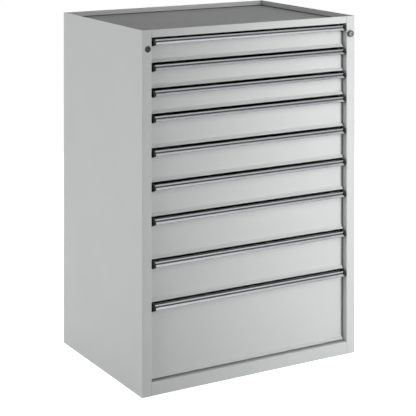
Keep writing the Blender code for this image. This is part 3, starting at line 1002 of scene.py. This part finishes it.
def make_runner_walls():
    """Folded inner walls with their fixed runners, and the studs that carry the lock bar."""
    low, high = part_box("left_runner_wall")
    _, slide_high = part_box("drawer_1_slide_right")
    runner_face = slide_high.x + web_clearance
    outer = -low.x
    path = [(outer, high.y), (runner_face, high.y), (runner_face, low.y), (outer, low.y)]
    parts = [folded(path, "Z", low.z, high.z, housing_sheet)]
    for _, foot, _ in modules():
        runner = channel(runner_face, -race_reach, low.y + runner_inset, high.y - runner_inset)
        bmesh.ops.translate(runner, verts=runner.verts, vec=(0, 0, foot))
        parts.append(runner)
    right = to_mesh("inner_wall", joined(*parts), GALVANISED)
    left = mirrored(right, "inner_wall_left")
    add("inner_wall_right", right, "cabinet", "zinc_steel", "right_runner_wall")
    add("inner_wall_left", left, "cabinet", "zinc_steel", "left_runner_wall")
    bar_low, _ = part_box("lock_bar")
    head = bar_low.y - stud_gap - stud_head_sheet
    profile = [
        (0, head),
        (stud_head_radius - stud_gap, head),
        (stud_head_radius, head + stud_gap),
        (stud_head_radius, head + stud_head_sheet),
        (stud_radius, head + stud_head_sheet),
        (stud_radius, low.y),
        (0, low.y),
    ]
    stud = to_mesh("stud", turned(profile, (0, 0, 0), rod_segments), ZINC)
    for index, z in enumerate(stud_heights(), 1):
        add(f"bar_stud_{index}", stud, "cabinet", "zinc_steel", at=(stud_x(), 0, z))


def stud_heights():
    """Heights of the lock bar's studs: the middles of three drawers' modules."""
    heights = []
    for number, foot, units in modules():
        if number in stud_drawers:
            heights.append(foot + units * unit_height / 2)
    return heights


def stud_x():
    """Place of the studs across the lock bar."""
    low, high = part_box("lock_bar")
    return (low.x + high.x - crank_length) / 2


def stadium(radius, length, x, z):
    """Outline of a bar with round ends, from (x, z) along the first axis."""
    outline = []
    for end, start in ((length, -math.pi / 2), (0, math.pi / 2)):
        for step in range(stadium_steps + 1):
            angle = start + math.pi * step / stadium_steps
            outline.append((x + end + radius * math.cos(angle), z + radius * math.sin(angle)))
    return outline


def lock_axis():
    """Place of the lock's axis on the face of the right post."""
    low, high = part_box("lock_housing")
    return Vector(((low.x + high.x) / 2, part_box("right_side_panel")[0].y, (low.z + high.z) / 2))


def make_lock_ring(axis):
    """Lock ring with its sleeve, and the nut that holds it."""
    bore = barrel_radius + barrel_gap
    outline = [
        (bore, -ring_proud, 2 * seam_gap),
        (ring_radius, -ring_proud, ring_round),
        (ring_radius, -seam_gap, seam_gap),
        (sleeve_radius, -seam_gap, 0),
        (sleeve_radius, sleeve_end, seam_gap),
        (bore, sleeve_end, 0),
    ]
    ring = to_mesh("lock_ring", turned(soften(outline), axis, lock_segments), RING)
    add("lock_ring", ring, "cabinet", "black_plastic", "lock_housing")
    hexagon = polygon(nut_corner_radius, 6, axis.x, axis.z)
    nut = prism(hexagon, "Y", axis.y + nut_start, axis.y + nut_end)
    hole = rod(sleeve_radius + seam_gap, axis.y, axis.y + nut_end + cut_overrun, axis.x, axis.z)
    nut = eased(cut(nut, hole), 2 * seam_gap)
    add("lock_nut", to_mesh("lock_nut", nut, ZINC), "cabinet", "zinc_steel")


def make_barrel(axis):
    """Key barrel with its slot, crank and pin."""
    shoulder = barrel_round_share * barrel_round
    profile = [
        (0, -barrel_proud),
        (barrel_radius - barrel_round, -barrel_proud),
        (barrel_radius - shoulder, -barrel_proud + shoulder),
        (barrel_radius, -barrel_proud + barrel_round),
        (barrel_radius, barrel_end),
        (0, barrel_end),
    ]
    slot = box(
        (-key_slot_length / 2, -barrel_proud - cut_overrun, -key_slot_width / 2),
        (key_slot_length / 2, -barrel_proud + key_slot_depth, key_slot_width / 2),
    )
    turn = Matrix.Rotation(key_slot_turn, 3, "Y")
    bmesh.ops.rotate(slot, verts=slot.verts, cent=(0, 0, 0), matrix=turn)
    barrel = cut(turned(profile, (0, 0, 0), lock_segments), slot)
    upright = [(-z, x) for x, z in stadium(crank_radius, crank_length, 0, 0)]
    crank = eased(prism(upright, "Y", crank_start, crank_end), seam_gap)
    pin = rod(pin_radius, crank_end, pin_end, 0, crank_length)
    parts = to_mesh("key_barrel", joined(barrel, crank, pin), NICKEL)
    add("key_barrel", parts, "lock_barrel", "lock_metal", "lock_barrel", at=axis)


def make_lock_bar(axis):
    """Lock bar with its slots for the studs and the window for the crank's pin."""
    low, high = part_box("lock_bar")
    edge = [(low.x, low.z), (high.x, low.z), (high.x, high.z), (low.x, high.z)]
    bar = prism(soften(edge, bar_edge), "Y", low.y, high.y)
    start, end = low.y - cut_overrun, high.y + cut_overrun
    ways = []
    for z in stud_heights():
        slot = stadium(stud_radius + stud_gap, crank_length, stud_x(), z)
        ways.append(prism(slot, "Y", start, end))
    window = [
        (axis.x - pin_room - pin_play, axis.z - pin_room),
        (axis.x + pin_room, axis.z - pin_room),
        (axis.x + pin_room, axis.z + crank_length + pin_room),
        (axis.x - pin_room - pin_play, axis.z + crank_length + pin_room),
    ]
    ways.append(prism(soften(window, bar_edge), "Y", start, end))
    bar = to_mesh("locking_bar", cut(bar, joined(*ways)), ZINC)
    add("locking_bar", bar, "lock_bar", "zinc_steel", "lock_bar")


def make_plug(axis):
    """Dished plug in the left post's hole."""
    profile = [
        (0, -plug_proud + plug_dish),
        (plug_dish_radius - plug_dish, -plug_proud + plug_dish),
        (plug_dish_radius, -plug_proud),
        (plug_radius - plug_proud, -plug_proud),
    ]
    for step in range(1, arc_steps + 1):
        angle = math.pi / 2 * step / arc_steps
        radius = plug_radius - plug_proud + (plug_proud - seam_gap) * math.sin(angle)
        profile.append((radius, -seam_gap - (plug_proud - seam_gap) * math.cos(angle)))
    profile += [(sleeve_radius, -seam_gap), (sleeve_radius, nut_end), (0, nut_end)]
    plug = to_mesh("post_plug", turned(profile, (-axis.x, axis.y, axis.z), lock_segments), PLUG)
    add("post_plug", plug, "cabinet", "black_plastic", "blanking_plug")


def make_lock():
    """Lock in the right post and plug in the left one."""
    axis = lock_axis()
    make_lock_ring(axis)
    make_barrel(axis)
    make_lock_bar(axis)
    make_plug(axis)


def seen_directly(tree):
    """1 for the rays that show the background (camera, gloss, transmission), 0 for its light."""
    path = tree.nodes.new("ShaderNodeLightPath")
    seen = path.outputs["Is Camera Ray"]
    for kind in ("Is Glossy Ray", "Is Transmission Ray"):
        either = tree.nodes.new("ShaderNodeMath")
        either.operation = "MAXIMUM"
        tree.links.new(seen, either.inputs[0])
        tree.links.new(path.outputs[kind], either.inputs[1])
        seen = either.outputs[0]
    return seen


def make_floor():
    """Pale floor that takes the shadow."""
    bm = bmesh.new()
    bmesh.ops.create_grid(bm, x_segments=1, y_segments=1, size=floor_half)
    mesh = bpy.data.meshes.new("floor")
    bm.to_mesh(mesh)
    bm.free()
    made, tree, shader = new_material("floor")
    shader.inputs["Base Color"].default_value = (*floor_colour, 1)
    shader.inputs["Roughness"].default_value = floor_roughness
    shader.inputs["Emission Color"].default_value = (*white, 1)
    mesh.materials.append(made)
    level = tree.nodes.new("ShaderNodeMath")
    level.operation = "MULTIPLY"
    level.inputs[1].default_value = floor_glow
    tree.links.new(seen_directly(tree), level.inputs[0])
    tree.links.new(level.outputs[0], shader.inputs["Emission Strength"])
    floor = bpy.data.objects.new("floor", mesh)
    bpy.context.scene.collection.objects.link(floor)


def make_world():
    """White surroundings that give a low even light."""
    world = bpy.data.worlds.new("studio")
    bpy.context.scene.world = world
    world.use_nodes = True
    tree = world.node_tree
    background = tree.nodes["Background"]
    background.inputs["Color"].default_value = (*white, 1)
    level = tree.nodes.new("ShaderNodeMapRange")
    level.inputs["To Min"].default_value = ambient_level
    level.inputs["To Max"].default_value = 1.0
    tree.links.new(seen_directly(tree), level.inputs["Value"])
    tree.links.new(level.outputs["Result"], background.inputs["Strength"])


def lamp(name, watts, size, at, target, spread=180, glossy=True):
    """Rectangular soft lamp that faces a point."""
    data = bpy.data.lights.new(name, "AREA")
    data.shape = "RECTANGLE"
    data.size, data.size_y = size
    data.energy = watts
    data.spread = math.radians(spread)
    obj = bpy.data.objects.new(name, data)
    obj.visible_camera = False
    obj.visible_glossy = glossy
    bpy.context.scene.collection.objects.link(obj)
    obj.location = at
    obj.rotation_euler = (Vector(target) - Vector(at)).to_track_quat("-Z", "Y").to_euler()


def make_lamps():
    """Key lamp for the fronts, one above, and fills for the other sides."""
    lamp("key", 13, (0.8, 2.6), at=(1.0, -1.8, 0.9), target=(0.4, -0.3, 0.65), spread=90, glossy=False)
    lamp("top", 12, (2.0, 1.6), at=(0.9, 0.1, 3.4), target=(0.3, 0, 1.2))
    lamp("left_front", 18, (1.2, 2.0), at=(-3.0, -1.2, 1.2), target=(0.4, -0.3, 0.7))
    lamp("left_fill", 26, (2.0, 2.4), at=(-3.0, 0.9, 1.0), target=(-0.45, 0.1, 0.7))
    lamp("right_fill", 45, (2.0, 2.4), at=(3.2, 1.2, 1.0), target=(0.45, 0.1, 0.7))
    lamp("back_fill", 45, (2.4, 2.4), at=(0.6, 3.4, 1.4), target=(0, 0.3, 0.7))


PAINT = paint()
ALUMINIUM = metal("anodised_aluminium", aluminium_colour, 0.26, stretch=(0.05, 1, 1), purity=0.86)
ZINC = metal("zinc_plate", zinc_colour, 0.34, stretch=(1, 0.05, 1))
GALVANISED = galvanised()
RUBBER = moulded("ribbed_rubber", rubber_colour, 0.75, change=0.03)
# Painted shade: dark strip round the mat, in place of the shadow at its edge
MAT_SHADE_EDGE = moulded("mat_shade_edge", mat_shade_edge_colour, 0.70)
RING = moulded("lock_ring", ring_colour, 0.32)
PLUG = moulded("post_plug", plug_colour, 0.50)
BLACK = moulded("black_plastic", black_colour, 0.45, gloss=0.3)
NICKEL = metal("nickel_plate", nickel_colour, 0.22, scale=40.0, relief=0.02, change=0.02)
# Painted shade: dark strip in the handle's groove, in place of its shadow
GROOVE_SHADE = moulded("groove_shade_material", groove_shade_colour, 0.50)
LABEL = label_material()

make_camera()
make_sides()
make_top()
make_foot()
make_runner_walls()
make_drawers()
make_lock()
make_floor()
make_world()
make_lamps()

bpy.context.scene.view_settings.view_transform = "Standard"
